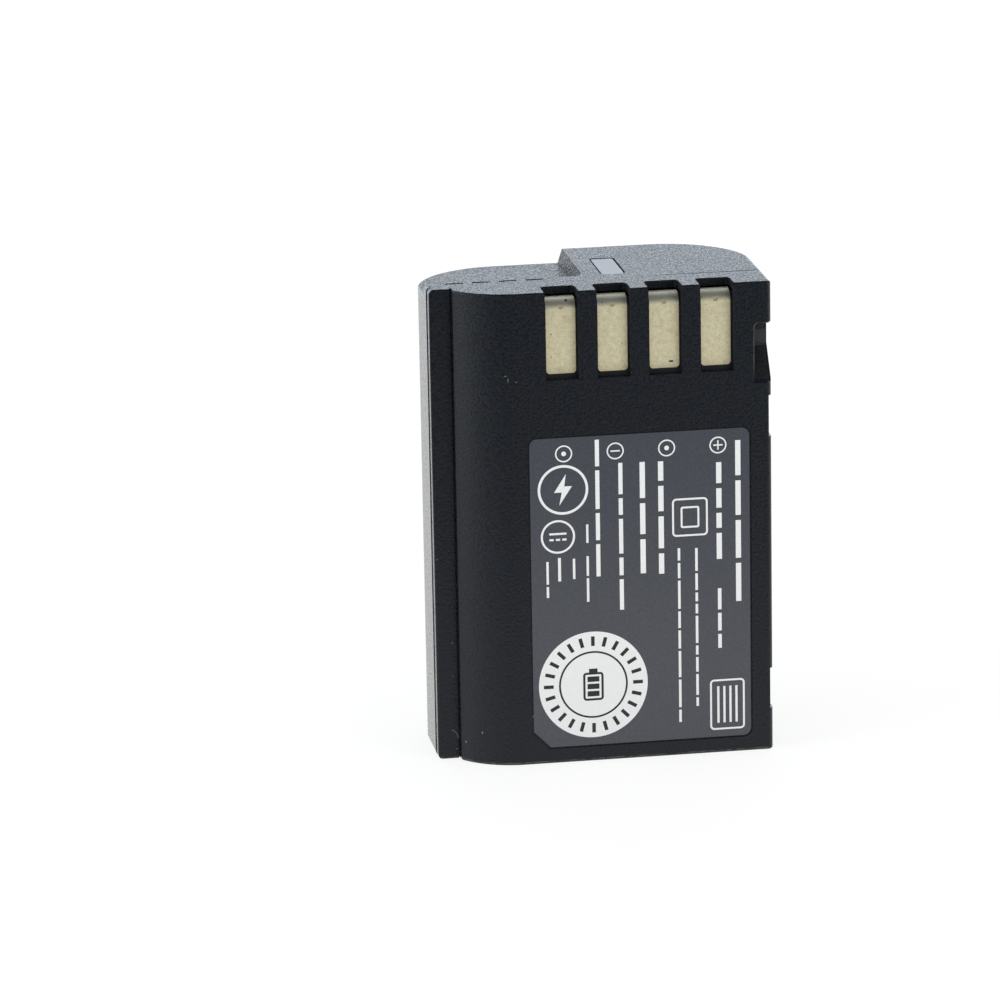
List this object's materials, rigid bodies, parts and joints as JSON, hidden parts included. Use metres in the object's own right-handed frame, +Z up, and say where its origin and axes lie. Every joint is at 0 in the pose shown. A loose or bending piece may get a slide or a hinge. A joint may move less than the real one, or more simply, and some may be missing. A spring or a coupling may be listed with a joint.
{
  "type": "camera battery pack",
  "caption": "Rechargeable two-cell camera battery pack: black textured case with recessed contacts, guide rail, latch notch, stepped top and a printed front label.",
  "frame": {"origin": "middle of the bottom face of the pack's bounding box", "axes": "+Z up along the cells towards the contact end, -Y out of the face with the contacts and the label, +X to the right as that face is looked at"},
  "size_m": [0.039, 0.0222, 0.0562],
  "materials": {
    "case_plastic": "fine spark-eroded texture, near black",
    "label_film": "charcoal printed film with off-white print",
    "smooth_plug": "smooth dark grey",
    "block_plastic": "black moulded",
    "contact_plating": "pale gold-nickel plating",
    "cell_steel": "nickel-plated steel can",
    "sleeve_film": "shrunk film",
    "insulator_paper": "plain insulating paper",
    "nickel_strip": "rolled nickel",
    "pad_foam": "closed-cell foam",
    "board_laminate": "green solder mask",
    "chip_body": "black moulded chip",
    "bead_resin": "dipped resin"
  },
  "bodies": {
    "root": {"front_case": "case_plastic", "rear_case": "case_plastic", "front_label": "label_film", "seal_plate": "smooth_plug", "terminal_block": "block_plastic", "contact_data": "contact_plating", "contact_negative": "contact_plating", "contact_thermistor": "contact_plating", "contact_positive": "contact_plating", "cell_left": "cell_steel", "cell_right": "cell_steel", "sleeve_left": "sleeve_film", "sleeve_right": "sleeve_film", "ring_left": "insulator_paper", "ring_right": "insulator_paper", "series_link": "nickel_strip", "midpoint_tab": "nickel_strip", "positive_tab": "nickel_strip", "negative_tab": "nickel_strip", "bottom_insulator": "insulator_paper", "top_insulator": "insulator_paper", "cell_pad": "pad_foam", "circuit_board": "board_laminate", "thermistor": "bead_resin", "protection_ic": "chip_body", "gauge_ic": "chip_body", "charge_switch": "chip_body", "discharge_switch": "chip_body", "sense_resistor": "chip_body", "chip_fuse": "chip_body"}
  },
  "joints": []
}
